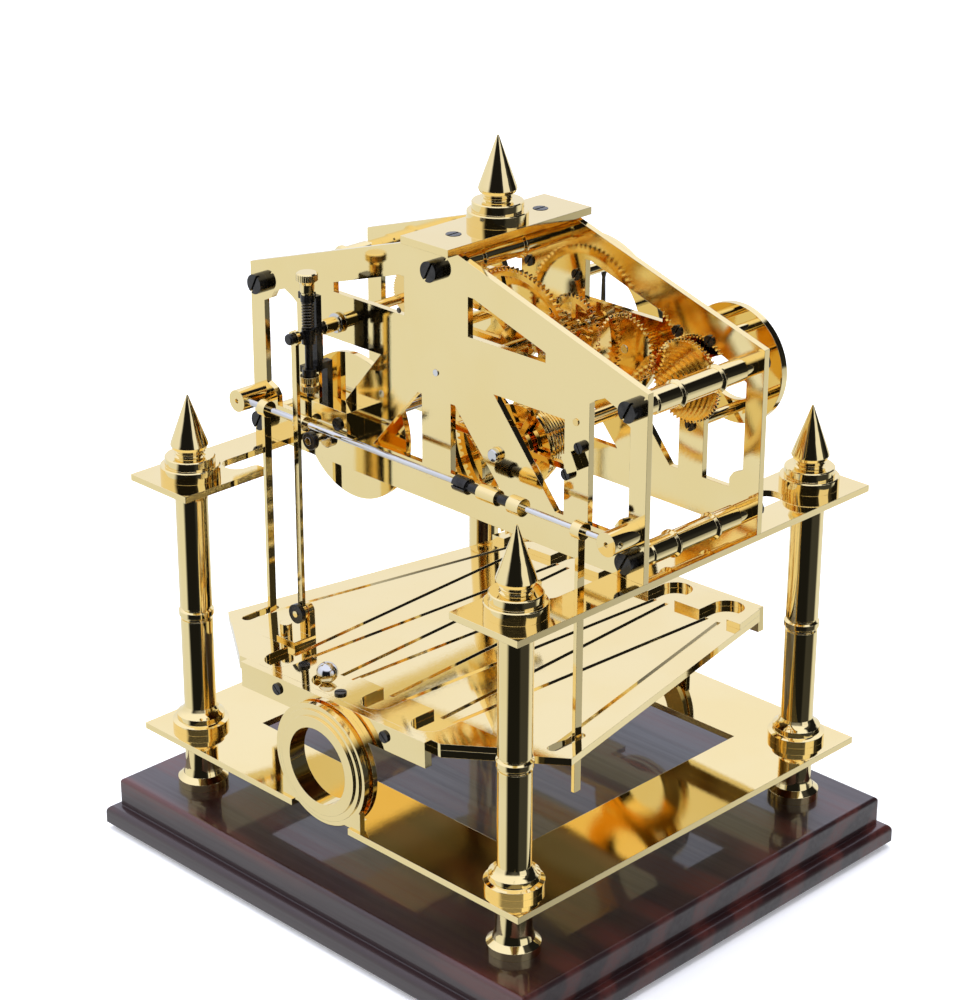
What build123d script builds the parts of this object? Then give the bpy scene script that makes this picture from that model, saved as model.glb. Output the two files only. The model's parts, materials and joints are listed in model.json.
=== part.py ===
from build123d import *
import os
from math import atan2, cos, degrees, hypot, radians, sin, sqrt

os.makedirs("parts", exist_ok=True)

# ---- driving dimensions, millimetres ------------------------------------------------
# Stack of levels above the table
foot_height = 4.0
plinth_height = 12.0
plinth_step = 7.0
base_top = 35.0
plate_bottom = 71.0
plate_top = 75.0
rail_bottom = 236.6
rail_top = 240.6
eave_z = 350.3
apex_z = 394.7
cap_top = 399.2

# Plan sizes
base_width = 347.0
base_depth = 314.0
bottom_width = 318.6
bottom_depth = 292.0
cutout_width = 215.8
cutout_depth = 191.8
ring_notch_half = 24.0
ring_notch_y = 131.0
column_x = 133.9
column_y = 122.9
column_r = 9.8
bead_z = 151.8
rail_outer_x = 159.0
rail_pad_x = 108.7
rail_inner_x = 136.3
rail_half_y = 147.7
pad_y = 85.0

# Movement plates
plate_half_x = 159.0
apex_half_x = 16.1
plate_thickness = 4.0
back_y = 50.7
front_y = -44.7
back_inner_y = back_y - plate_thickness
front_outer_y = front_y - plate_thickness
lower_rail_z = 262.6
pillar_r = 6.7
pillar_places = [(0, 381.6), (149.2, 339.2), (-149.2, 339.2), (149.2, 252.0), (-149.2, 252.0)]
cap_half_x = 18.8
cap_back_y = 59.5
cap_front_y = -56.3

# Tray, in its own tilted frame: x and y along the plate, z up from its running face
tray_rest_tilt = 1.77
tray_lift = 33.5
tray_axis_z = 106.3
tray_thickness = 4.5
tray_corner = (144.9, 88.8)
tray_near = (77.7, 135.2)
tray_far = (98.4, 132.4)
bar_thickness = 5.0
bar_height = 15.8
end_height = 3.8
end_inner_y = 102.5
pocket_r = 10.8
pocket_y = 116.0
near_pockets = [-62.4, -20.8, 20.8, 62.4]
far_pockets = [-83.2, -41.6, 0.0, 41.6, 83.2]
groove_offset = 4.6
groove_half = 1.6
groove_depth = 1.2
slot_x = 129.0
slot_centre_y = 76.0
slot_length = 28.0
slot_width = 7.0
ball_r = 6.35
ball_gap = 0.2
ball_y = 114.5

# Ring bearings of the tray
ring_outer_r = 37.4
ring_inner_r = 23.5
journal_r = 28.4
collar_r = 38.0
running_gap = 0.05

# Trip rod and its levers
rod_y = 68.0
rod_z = 269.0
rod_r = 1.85
boss_x = 150.5
boss_r = 6.9
boss_end_y = 72.0
lever_x = 128.2
lever_bottom_z = 110.0

# Lifting gear between crank and tray
stem_x = 77.5
stem_y = 77.5
stem_r = 1.6
pin_z = 330.5
pin_r = 2.4
link_y = 86.5
link_x = 79.1
link_lower_z = 157.2
yoke_pin_r = 2.0
lift_bar_x = 81.6
lift_bar_y = 62.0

# Arbors: x and z of each axis
centre = (0.0, 320.7)
great = (-48.0, 284.7)
crank = (81.6, 263.0)
hours = (-108.0, 320.7)
seconds = (108.0, 320.7)
barrel_axis = (6.0, 258.0)
dial_y = -80.5
hand_y = -88.0


def upright(y):
    """Plane at depth y whose sketch axes are the clock's x and z; extrudes towards -y."""
    return Plane.XZ.offset(-y)


def crossing(first, first_reach, second, second_reach, side):
    """Axis that lies at the two given distances from two other axes."""
    dx = second[0] - first[0]
    dz = second[1] - first[1]
    span = hypot(dx, dz)
    along = (first_reach**2 - second_reach**2 + span**2) / (2 * span)
    off = side * sqrt(first_reach**2 - along**2)
    return (
        first[0] + (dx * along - dz * off) / span,
        first[1] + (dz * along + dx * off) / span,
    )


def bearing_angle(first, second):
    """Direction from one axis to another, degrees in the upright plane."""
    return degrees(atan2(second[1] - first[1], second[0] - first[0]))


def meshed_turn(direction, lead_turn, lead_teeth, teeth):
    """Turn of a wheel that sets one of its gaps on a tooth of the wheel it meets."""
    offset = (lead_turn - direction) % (360 / lead_teeth)
    return direction + 180 + 180 / teeth - offset * lead_teeth / teeth


def tooth_ring(teeth, module, turn):
    """Outline of a toothed wheel about its own centre, with backlash in every gap."""
    pitch_r = teeth * module / 2
    levels = [(-1.15, 0.27), (0.0, 0.20), (0.55, 0.13), (0.85, 0.06)]
    points = []
    for number in range(teeth):
        middle = radians(turn + number * 360 / teeth)
        step = radians(360 / teeth)
        for height, half in levels:
            reach = pitch_r + height * module
            points.append((reach * cos(middle - half * step), reach * sin(middle - half * step)))
        for height, half in reversed(levels):
            reach = pitch_r + height * module
            points.append((reach * cos(middle + half * step), reach * sin(middle + half * step)))
    return points


def turned_profile(steps):
    """Right half outline of a turned piece from (radius, height) steps, closed on its axis."""
    return [(0, steps[0][1])] + steps + [(0, steps[-1][1])]


def axis_plane(middle, y):
    """Upright plane at depth y with its origin on an axis that runs along the depth."""
    return Plane(origin=(middle[0], y, middle[1]), x_dir=(1, 0, 0), z_dir=(0, -1, 0))


def disc(middle, y, thickness, radius, bore=0):
    """Plain disc or ring whose back face is at depth y."""
    with BuildPart() as piece:
        with BuildSketch(axis_plane(middle, y)):
            Circle(radius)
            if bore:
                Circle(bore, mode=Mode.SUBTRACT)
        extrude(amount=thickness)
    return piece.part


def lying(middle, steps):
    """Turned piece about an axis along the depth, from (radius, depth) steps."""
    with BuildPart() as piece:
        with BuildSketch(Plane(origin=(middle[0], 0, middle[1]), x_dir=(1, 0, 0), z_dir=(0, 0, 1))):
            with BuildLine():
                Polyline(*turned_profile(steps), close=True)
            make_face()
        revolve(axis=Axis((middle[0], 0, middle[1]), (0, 1, 0)))
    return piece.part


def standing(x, y, steps):
    """Turned piece about an upright axis, from (radius, height) steps."""
    with BuildPart() as piece:
        with BuildSketch(Plane(origin=(x, y, 0), x_dir=(1, 0, 0), z_dir=(0, -1, 0))):
            with BuildLine():
                Polyline(*turned_profile(steps), close=True)
            make_face()
        revolve(axis=Axis((x, y, 0), (0, 0, 1)))
    return piece.part


def gear(middle, y, thickness, teeth, module, turn, bore, spokes=0):
    """Toothed wheel with its back face at depth y; crossed out when it has spokes."""
    rim_r = teeth * module / 2 - 1.15 * module - 3.2
    with BuildPart() as piece:
        with BuildSketch(axis_plane(middle, y)):
            with BuildLine():
                Polyline(*tooth_ring(teeth, module, turn), close=True)
            make_face()
            if spokes:
                Circle(rim_r, mode=Mode.SUBTRACT)
                with PolarLocations(0, spokes):
                    Rectangle(rim_r + 1, 3.6, align=(Align.MIN, Align.CENTER))
                Circle(0.2 * rim_r + 3.2)
            if bore:
                Circle(bore, mode=Mode.SUBTRACT)
        extrude(amount=thickness)
    return piece.part


def slotted_head(middle, y, out, radius, height, angle):
    """Slotted screw head standing on a face at depth y, towards +y (out 1) or -y (out -1)."""
    back = y + height if out > 0 else y
    slot_back = y + height if out > 0 else y - height + 0.35 * height
    with BuildPart() as piece:
        with BuildSketch(axis_plane(middle, back)):
            Circle(radius)
        extrude(amount=height)
        with BuildSketch(axis_plane(middle, slot_back)):
            Rectangle(2 * radius + 2, 0.24 * radius, rotation=angle)
        extrude(amount=0.35 * height, mode=Mode.SUBTRACT)
    return piece.part


third = crossing(centre, 51.75, crank, 48.875, 1)
seconds_mid = crossing(crank, 33.0, seconds, 33.0, -1)
motion_mid = (
    hours[0] + 42 * cos(radians(14)),
    hours[1] + 42 * sin(radians(14)),
)
motion_idle = crossing(centre, 30.0, motion_mid, 40.0, -1)
hour_idle = crossing(motion_mid, 12.0, hours, 32.0, 1)


# ---- wood base and lower pillars ------------------------------------------------------
with BuildPart() as wood_base:
    with BuildSketch(Plane.XY.offset(foot_height)):
        Rectangle(base_width + 2 * plinth_step, base_depth + 2 * plinth_step)
    extrude(amount=plinth_height)
    fillet(wood_base.faces().sort_by(Axis.Z)[-1].outer_wire().edges(), 5)
    with BuildSketch(Plane.XY.offset(foot_height + plinth_height)):
        Rectangle(base_width, base_depth)
    extrude(amount=base_top - foot_height - plinth_height)
    fillet(wood_base.faces().sort_by(Axis.Z)[-1].outer_wire().edges(), 3)
wood_base.part.label = "wood_base"
export_step(wood_base.part, "parts/wood_base.step")

with BuildPart() as feet:
    with BuildSketch():
        with GridLocations(base_width - 40, base_depth - 40, 2, 2):
            Circle(11)
    extrude(amount=foot_height)
feet.part.label = "feet"
export_step(feet.part, "parts/feet.step")

column_spots = [(x, y) for x in (-column_x, column_x) for y in (-column_y, column_y)]
pillar_steps = [(15.5, 35), (15.5, 40), (12, 43), (10.5, 48), (10.5, 60), (12, 64), (13, 67), (13, 71)]
pillar_shapes = [standing(x, y, pillar_steps) for x, y in column_spots]
with BuildPart() as lower_pillars:
    add(pillar_shapes)
lower_pillars.part.label = "lower_pillars"
export_step(lower_pillars.part, "parts/lower_pillars.step")

with BuildPart() as bottom_plate:
    with BuildSketch(Plane.XY.offset(plate_bottom)):
        Rectangle(bottom_width, bottom_depth)
        Rectangle(cutout_width, cutout_depth, mode=Mode.SUBTRACT)
        for side in (-1, 1):
            with Locations((0, side * (ring_notch_y + bottom_depth / 2) / 2)):
                Rectangle(2 * ring_notch_half, bottom_depth / 2 - ring_notch_y, mode=Mode.SUBTRACT)
    extrude(amount=plate_top - plate_bottom)
bottom_plate.part.label = "bottom_plate"
export_step(bottom_plate.part, "parts/bottom_plate.step")

# ---- columns, rails and finials -------------------------------------------------------
column_steps = [
    (17.2, plate_top),
    (17.2, plate_top + 4.5),
    (14.5, plate_top + 5.5),
    (14.5, plate_top + 9),
    (11.5, plate_top + 11),
    (column_r, plate_top + 14),
    (column_r, bead_z - 4.2),
    (column_r - 0.9, bead_z - 3.8),
    (column_r - 0.9, bead_z - 2.8),
    (column_r + 0.8, bead_z - 1.6),
    (column_r + 0.8, bead_z + 1.6),
    (column_r - 0.9, bead_z + 2.8),
    (column_r - 0.9, bead_z + 3.8),
    (column_r, bead_z + 4.2),
    (column_r, rail_bottom - 10),
    (column_r - 0.6, rail_bottom - 9),
    (11.5, rail_bottom - 6),
    (14.2, rail_bottom - 4),
    (14.9, rail_bottom - 3),
    (14.9, rail_bottom),
]
column_shapes = [standing(x, y, column_steps) for x, y in column_spots]
with BuildPart() as columns:
    add(column_shapes)
columns.part.label = "columns"
export_step(columns.part, "parts/columns.step")

finial_steps = [
    (17.8, 0),
    (17.8, 6.6),
    (17.2, 7.2),
    (15.0, 7.2),
    (15.0, 12.0),
    (14.4, 12.6),
    (9.4, 12.6),
    (8.2, 13.4),
    (8.2, 14.4),
    (9.2, 15.2),
    (8.2, 16.2),
    (10.4, 17.6),
    (11.3, 19.6),
    (10.8, 21.4),
    (0.5, 50.2),
]


def finial(x, y, z):
    """Spear-shaped finial on a double disc."""
    return standing(x, y, [(radius, z + height) for radius, height in finial_steps])


finial_shapes = [finial(x, y, rail_top) for x, y in column_spots]
with BuildPart() as column_finials:
    add(finial_shapes)
column_finials.part.label = "column_finials"
export_step(column_finials.part, "parts/column_finials.step")


def side_rail(side):
    """Flat rail over two columns with a wide pad and a scooped finger at each end."""
    middle = side * (rail_outer_x + rail_inner_x) / 2
    pad_middle = side * (rail_outer_x + rail_pad_x) / 2
    with BuildPart() as piece:
        with BuildSketch(Plane.XY.offset(rail_bottom)):
            with Locations((middle, 0)):
                Rectangle(rail_outer_x - rail_inner_x, 2 * rail_half_y)
            for end in (-1, 1):
                with Locations((pad_middle, end * (rail_half_y + pad_y) / 2)):
                    Rectangle(rail_outer_x - rail_pad_x, rail_half_y - pad_y)
            for end in (-1, 1):
                with Locations((side * (rail_inner_x - 8.8), end * 92.5)):
                    Circle(8.8, mode=Mode.SUBTRACT)
                with Locations((side * (rail_inner_x - 8.8), end * 84)):
                    Rectangle(17.6, 17, mode=Mode.SUBTRACT)
        extrude(amount=rail_top - rail_bottom)
        fingers = piece.edges().filter_by(Axis.Z)
        tips = [edge for edge in fingers if abs(abs(edge.center().Y) - pad_y) < 0.1]
        fillet([edge for edge in tips if abs(edge.center().X) < rail_inner_x - 10], 4.0)
    return piece.part


rail_shapes = [side_rail(1), side_rail(-1)]
with BuildPart() as side_rails:
    add(rail_shapes)
side_rails.part.label = "side_rails"
export_step(side_rails.part, "parts/side_rails.step")

# ---- movement plates ------------------------------------------------------------------
plate_outline = [
    (-plate_half_x, rail_top),
    (plate_half_x, rail_top),
    (plate_half_x, eave_z),
    (apex_half_x, apex_z),
    (-apex_half_x, apex_z),
    (-plate_half_x, eave_z),
]
upper_window = [(25.5, 348.5), (84.8, 348.5), (84.8, 354.3), (29.5, 371.8), (25.5, 371.8)]
narrow_window = [(11.7, 262.6), (53.0, 262.6), (15.0, 305.0), (11.7, 305.0)]
wide_window = [(93.3, 263.7), (99.6, 263.7), (99.6, 319.9), (45.6, 319.9)]
side_window = [
    (117.7, 263.7),
    (137.5, 263.7),
    (137.5, 269.5),
    (140.5, 273.5),
    (147.0, 276.5),
    (147.0, 328.5),
    (140.5, 331.5),
    (137.5, 336.5),
    (128.5, 340.0),
    (122.0, 337.0),
    (117.7, 334.0),
]


def movement_plate(y, bores, screw_holes):
    """Gabled skeleton plate with four windows each side and its pivot holes."""
    with BuildPart() as piece:
        with BuildSketch(upright(y)):
            with BuildLine():
                Polyline(*plate_outline, close=True)
            make_face()
            for side in (-1, 1):
                for window in (upper_window, narrow_window, wide_window, side_window):
                    with BuildSketch(mode=Mode.SUBTRACT):
                        with BuildLine():
                            Polyline(*[(side * px, pz) for px, pz in window], close=True)
                        make_face()
            for (px, pz), radius in bores:
                with Locations((px, pz)):
                    Circle(radius, mode=Mode.SUBTRACT)
            for px, pz in screw_holes:
                with Locations((px, pz)):
                    Circle(2.5, mode=Mode.SUBTRACT)
        extrude(amount=plate_thickness)
    return piece.part


pivot_r = 2.0
back_bores = [
    (centre, pivot_r + running_gap),
    (great, 4.3 + running_gap),
    (crank, 2.4 + running_gap),
    (hours, pivot_r + running_gap),
    (seconds, pivot_r + running_gap),
    (third, pivot_r + running_gap),
    (barrel_axis, 3.0 + running_gap),
]
front_bores = [
    (centre, pivot_r + running_gap),
    (great, 3.0 + running_gap),
    (crank, pivot_r + running_gap),
    (hours, pivot_r + running_gap),
    (seconds, pivot_r + running_gap),
    (third, pivot_r + running_gap),
    (barrel_axis, 3.0 + running_gap),
    (motion_idle, 2.5),
    (motion_mid, 2.5),
    (hour_idle, 2.5),
    (seconds_mid, 2.5),
]
dial_feet_spots = []
for (px, pz), reach in ((centre, 44.6), (hours, 28.0), (seconds, 28.0)):
    for angle in (65, 115, 270):
        dial_feet_spots.append((px + reach * cos(radians(angle)), pz + reach * sin(radians(angle))))

back_shape = movement_plate(back_y, back_bores, pillar_places)
with BuildPart() as back_plate:
    add(back_shape)
back_plate.part.label = "back_plate"
export_step(back_plate.part, "parts/back_plate.step")

front_shape = movement_plate(front_y, front_bores, pillar_places + dial_feet_spots)
with BuildPart() as front_plate:
    add(front_shape)
front_plate.part.label = "front_plate"
export_step(front_plate.part, "parts/front_plate.step")

# Pillars run along the depth, from the front plate to the back one
screw_r = 2.5
screw_reach = 9.0
gap_length = back_inner_y - front_y
pillar_profile = [
    (6.0, 0),
    (6.0, 9),
    (pillar_r, 10),
    (pillar_r, 0.30 * gap_length),
    (8.1, 0.30 * gap_length + 1.2),
    (8.1, 0.30 * gap_length + 2.4),
    (pillar_r, 0.30 * gap_length + 3.6),
    (pillar_r, 0.70 * gap_length - 3.6),
    (8.1, 0.70 * gap_length - 2.4),
    (8.1, 0.70 * gap_length - 1.2),
    (pillar_r, 0.70 * gap_length),
    (pillar_r, gap_length - 10),
    (6.0, gap_length - 9),
    (6.0, gap_length),
]
pillar_shapes = []
for place in pillar_places:
    pillar_shapes.append(lying(place, [(radius, front_y + reach) for radius, reach in pillar_profile]))
with BuildPart() as plate_pillars:
    add(pillar_shapes)
    for start in (back_inner_y, front_y + screw_reach):
        with BuildSketch(upright(start)):
            with Locations(*pillar_places):
                Circle(screw_r)
        extrude(amount=screw_reach, mode=Mode.SUBTRACT)
plate_pillars.part.label = "plate_pillars"
export_step(plate_pillars.part, "parts/plate_pillars.step")

head_shapes = []
for place in pillar_places:
    head_shapes.append(slotted_head(place, back_y, 1, 6.1, 6.2, 118))
    head_shapes.append(slotted_head(place, front_outer_y, -1, 6.1, 6.2, 28))
with BuildPart() as frame_screws:
    add(head_shapes)
    for start in (back_y, front_y + screw_reach - 1):
        with BuildSketch(upright(start)):
            with Locations(*pillar_places):
                Circle(screw_r)
        extrude(amount=plate_thickness + screw_reach - 1)
    with BuildSketch(upright(front_y)):
        with Locations(*dial_feet_spots):
            Circle(screw_r)
    extrude(amount=plate_thickness)
    with BuildSketch(upright(front_y + 1.2)):
        with Locations(*dial_feet_spots):
            Circle(3.4)
            Rectangle(1, 7, rotation=30, mode=Mode.SUBTRACT)
    extrude(amount=1.2)
frame_screws.part.label = "frame_screws"
export_step(frame_screws.part, "parts/frame_screws.step")

# ---- top cap and finial ---------------------------------------------------------------
cap_middle_y = (cap_back_y + cap_front_y) / 2
cap_screw_y = [cap_middle_y - 35, cap_middle_y + 35]
with BuildPart() as top_cap:
    with BuildSketch(Plane.XY.offset(apex_z)):
        with Locations((0, cap_middle_y)):
            Rectangle(2 * cap_half_x, cap_back_y - cap_front_y)
    extrude(amount=cap_top - apex_z)
    with BuildSketch(Plane.XY.offset(cap_top)):
        with Locations(*[(0, y) for y in cap_screw_y]):
            Circle(4.5)
    extrude(amount=-2, mode=Mode.SUBTRACT)
top_cap.part.label = "top_cap"
export_step(top_cap.part, "parts/top_cap.step")

cap_finial_shape = finial(0, cap_middle_y, cap_top)
with BuildPart() as top_finial:
    add(cap_finial_shape)
top_finial.part.label = "top_finial"
export_step(top_finial.part, "parts/top_finial.step")

# ---- dials on the front -----------------------------------------------------------------
def dial_ring(middle, outer, inner):
    """Skeleton chapter ring with a raised rim at both edges."""
    with BuildPart() as piece:
        with BuildSketch(axis_plane(middle, dial_y)):
            Circle(outer)
            Circle(inner, mode=Mode.SUBTRACT)
        extrude(amount=2)
        for rim_outer, rim_inner in ((outer, outer - 2.4), (inner + 1.6, inner)):
            with BuildSketch(axis_plane(middle, dial_y)):
                Circle(rim_outer)
                Circle(rim_inner, mode=Mode.SUBTRACT)
            extrude(amount=4.5)
    return piece.part


minute_ring = dial_ring(centre, 53.0, 37.0)
with BuildPart() as minute_dial:
    add(minute_ring)
minute_dial.part.label = "minute_dial"
export_step(minute_dial.part, "parts/minute_dial.step")

small_rings = [dial_ring(hours, 35.6, 21.5), dial_ring(seconds, 35.6, 21.5)]
with BuildPart() as small_dials:
    add(small_rings)
small_dials.part.label = "small_dials"
export_step(small_dials.part, "parts/small_dials.step")

with BuildPart() as dial_feet:
    with BuildSketch(upright(front_outer_y)):
        with Locations(*dial_feet_spots):
            Circle(3.2)
    extrude(amount=front_outer_y - dial_y)
dial_feet.part.label = "dial_feet"
export_step(dial_feet.part, "parts/dial_feet.step")

# ---- ring bearings that carry the tray ----------------------------------------------------
def bearing_ring(side, bar_face):
    """Stepped fixed ring, its journal and the two ears on the bottom plate."""
    stages = [
        (bar_face + 0.4, bar_face + 3.6, journal_r),
        (bar_face + 3.6, bar_face + 5.8, 32.0),
        (bar_face + 5.8, bar_face + 9.4, ring_outer_r),
        (bar_face + 9.4, bar_face + 10.6, 34.0),
        (bar_face + 10.6, bar_face + 11.8, 30.4),
    ]
    with BuildPart() as piece:
        for near, far, radius in stages:
            start = far if side > 0 else -near
            with BuildSketch(axis_plane((0, tray_axis_z), start)):
                Circle(radius)
                Circle(ring_inner_r, mode=Mode.SUBTRACT)
            extrude(amount=far - near)
        start = bar_face + 9.4 if side > 0 else -(bar_face + 5.8)
        with BuildSketch(axis_plane((0, plate_top), start)):
            Rectangle(66, 12, align=(Align.CENTER, Align.MIN))
            with Locations((0, tray_axis_z - plate_top)):
                Circle(ring_inner_r, mode=Mode.SUBTRACT)
        extrude(amount=3.6)
        chamfered = piece.edges().filter_by(GeomType.CIRCLE).filter_by(lambda edge: edge.radius > 37)
        chamfer(chamfered.sort_by(Axis.Y)[-1 if side > 0 else 0], 0.5)
    return piece.part


ring_shapes = [bearing_ring(1, tray_near[1]), bearing_ring(-1, tray_far[1])]
with BuildPart() as bearing_rings:
    add(ring_shapes)
bearing_rings.part.label = "bearing_rings"
export_step(bearing_rings.part, "parts/bearing_rings.step")

# ---- tray -----------------------------------------------------------------------------------
tilt = radians(tray_rest_tilt)
tray_x = (cos(tilt), 0, -sin(tilt))
tray_up = (sin(tilt), 0, cos(tilt))
tray_origin = (tray_lift * sin(tilt), 0, tray_axis_z + tray_lift * cos(tilt))


def tray_plane(x=0.0, y=0.0, z=0.0):
    """Plane on the tray, moved within the tray's own frame, facing up from it."""
    at_x = tray_origin[0] + x * tray_x[0] + z * tray_up[0]
    at_z = tray_origin[2] + x * tray_x[2] + z * tray_up[2]
    return Plane(origin=(at_x, y, at_z), x_dir=tray_x, z_dir=tray_up)


def tray_upright(x, y, z):
    """Upright plane through a tray point, leaning with the tray, facing -y."""
    return Plane(origin=tray_plane(x, y, z).origin, x_dir=tray_x, z_dir=(0, -1, 0))


near_inner_y = tray_near[1] - bar_thickness
far_inner_y = tray_far[1] - bar_thickness
near_slope = (tray_corner[0] - tray_near[0]) / (tray_near[1] - tray_corner[1])
far_slope = (tray_corner[0] - tray_far[0]) / (tray_corner[1] + tray_far[1])


def tray_half_width(y):
    """Half width of the tray at depth y."""
    if y > tray_corner[1]:
        return tray_corner[0] - (y - tray_corner[1]) * near_slope
    return tray_corner[0] - (tray_corner[1] - y) * far_slope


edge_points = [near_inner_y, tray_corner[1], -far_inner_y]
tray_outline = [(tray_half_width(y), y) for y in edge_points]
tray_outline += [(-tray_half_width(y), y) for y in reversed(edge_points)]

run_legs = []
for far_x, near_x in zip(far_pockets, near_pockets):
    run_legs.append((far_x + groove_offset, near_x - groove_offset))
for far_x, near_x in zip(far_pockets[1:], near_pockets):
    run_legs.append((far_x - groove_offset, near_x + groove_offset))

with BuildPart() as tray_plate:
    with BuildSketch(tray_plane()):
        with BuildLine():
            Polyline(*tray_outline, close=True)
        make_face()
        with Locations((-slot_x, slot_centre_y), (slot_x, slot_centre_y)):
            SlotOverall(slot_length, slot_width, rotation=90, mode=Mode.SUBTRACT)
    extrude(amount=-tray_thickness)
    for far_x, near_x in run_legs:
        begin = tray_plane(far_x, -end_inner_y).origin
        finish = tray_plane(near_x, end_inner_y).origin
        run = (finish - begin).normalized()
        with BuildSketch(Plane(origin=begin, x_dir=run.cross(Vector(*tray_up)), z_dir=run)):
            with BuildLine():
                Polyline((-groove_half, 0), (groove_half, 0), (0, groove_depth), close=True)
            make_face()
        extrude(amount=(finish - begin).length, mode=Mode.SUBTRACT)
    for side in (-1, 1):
        begin = tray_plane(side * (far_pockets[-1] + groove_offset), -end_inner_y).origin
        finish = tray_plane(side * slot_x, slot_centre_y + slot_length / 2 - 1).origin
        run = (finish - begin).normalized()
        with BuildSketch(Plane(origin=begin, x_dir=run.cross(Vector(*tray_up)), z_dir=run)):
            with BuildLine():
                Polyline((-groove_half, 0), (groove_half, 0), (0, groove_depth), close=True)
            make_face()
        extrude(amount=(finish - begin).length, mode=Mode.SUBTRACT)
tray_plate.part.label = "tray_plate"
export_step(tray_plate.part, "parts/tray_plate.step")


def pocket_plate(side, outer_y, pockets):
    """Raised plate at one end of the tray with a round-bottomed pocket for each run."""
    with BuildPart() as piece:
        with BuildSketch(tray_plane()):
            with BuildLine():
                Polyline(
                    (tray_half_width(side * end_inner_y), side * end_inner_y),
                    (tray_half_width(side * outer_y), side * outer_y),
                    (-tray_half_width(side * outer_y), side * outer_y),
                    (-tray_half_width(side * end_inner_y), side * end_inner_y),
                    close=True,
                )
            make_face()
            with Locations(*[(x, side * pocket_y) for x in pockets]):
                Circle(pocket_r, mode=Mode.SUBTRACT)
            with Locations(*[(x, side * (pocket_y + end_inner_y - 1) / 2) for x in pockets]):
                Rectangle(2 * pocket_r, pocket_y - end_inner_y + 1, mode=Mode.SUBTRACT)
        extrude(amount=end_height)
    return piece.part


pocket_shapes = [
    pocket_plate(1, near_inner_y, near_pockets),
    pocket_plate(-1, far_inner_y, far_pockets),
]
with BuildPart() as pocket_plates:
    add(pocket_shapes)
pocket_plates.part.label = "pocket_plates"
export_step(pocket_plates.part, "parts/pocket_plates.step")

with BuildPart() as tray_bars:
    for face_y, half in ((tray_near[1], tray_near[0]), (-far_inner_y, tray_far[0])):
        with BuildSketch(tray_upright(0, face_y, end_height)):
            Rectangle(2 * half, bar_height, align=(Align.CENTER, Align.MAX))
        extrude(amount=bar_thickness)
tray_bars.part.label = "tray_bars"
export_step(tray_bars.part, "parts/tray_bars.step")

collar_shapes = [
    disc((0, tray_axis_z), tray_near[1] + 3.2, 3.2, collar_r, journal_r + running_gap),
    disc((0, tray_axis_z), -tray_far[1], 3.2, collar_r, journal_r + running_gap),
]
with BuildPart() as tray_collars:
    add(collar_shapes)
tray_collars.part.label = "tray_collars"
export_step(tray_collars.part, "parts/tray_collars.step")

bar_screw_x = 45.3
pocket_screws = [(45.6, 114.0), (2.5, 124.5)]
screw_shapes = []
for x in (-bar_screw_x, bar_screw_x):
    near_spot = tray_plane(x, 0, -3.4).origin
    screw_shapes.append(slotted_head((near_spot.X, near_spot.Z), tray_near[1], 1, 3.6, 1.2, 40))
    screw_shapes.append(slotted_head((near_spot.X, near_spot.Z), -tray_far[1], -1, 3.6, 1.2, 40))
with BuildPart() as tray_screws:
    add(screw_shapes)
    for x, y in pocket_screws:
        with BuildSketch(tray_plane(x, y, end_height)):
            Circle(3.6)
        extrude(amount=1.2)
        with BuildSketch(tray_plane(x, y, end_height + 1.2)):
            Rectangle(8, 1, rotation=35)
        extrude(amount=-0.6, mode=Mode.SUBTRACT)
    with BuildSketch(Plane(origin=(link_x, link_y + 5.1, link_lower_z), x_dir=tray_x, z_dir=(0, -1, 0))):
        Circle(6)
        Circle(yoke_pin_r, mode=Mode.SUBTRACT)
    extrude(amount=3)
tray_screws.part.label = "tray_screws"
export_step(tray_screws.part, "parts/tray_screws.step")

# The ball starts in a near pocket, on the leg that leads to the next far pocket
leg_far_x = far_pockets[3] - groove_offset
leg_near_x = near_pockets[2] + groove_offset
ball_x = leg_near_x + (ball_y - end_inner_y) * (leg_near_x - leg_far_x) / (2 * end_inner_y)
with BuildPart() as steel_ball:
    with BuildSketch(tray_upright(ball_x, ball_y, ball_r + ball_gap)):
        Circle(ball_r)
        Rectangle(2 * ball_r, ball_r, align=(Align.CENTER, Align.MAX), mode=Mode.SUBTRACT)
    ball_middle = tray_plane(ball_x, ball_y, ball_r + ball_gap).origin
    revolve(axis=Axis(ball_middle, tray_x))
steel_ball.part.label = "steel_ball"
export_step(steel_ball.part, "parts/steel_ball.step")

# ---- trip rod and levers ------------------------------------------------------------------
boss_places = [(-boss_x, rod_z - 0.5), (boss_x, rod_z - 0.5)]
boss_shapes = [disc(place, boss_end_y, boss_end_y - back_y, boss_r) for place in boss_places]
with BuildPart() as rod_posts:
    add(boss_shapes)
    with BuildSketch(Plane.YZ.offset(-boss_x - boss_r)):
        with Locations((rod_y, rod_z)):
            Circle(rod_r + running_gap)
    extrude(amount=2 * (boss_x + boss_r), mode=Mode.SUBTRACT)
    with BuildSketch(upright(boss_end_y)):
        with Locations(*boss_places):
            Circle(1.5)
    extrude(amount=1.6, mode=Mode.SUBTRACT)
rod_posts.part.label = "rod_posts"
export_step(rod_posts.part, "parts/rod_posts.step")

rod_half = boss_x + 5
with BuildPart() as trip_rod:
    with BuildSketch(Plane.YZ.offset(-rod_half)):
        with Locations((rod_y, rod_z)):
            Circle(rod_r)
    extrude(amount=2 * rod_half)
trip_rod.part.label = "trip_rod"
export_step(trip_rod.part, "parts/trip_rod.step")

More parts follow.
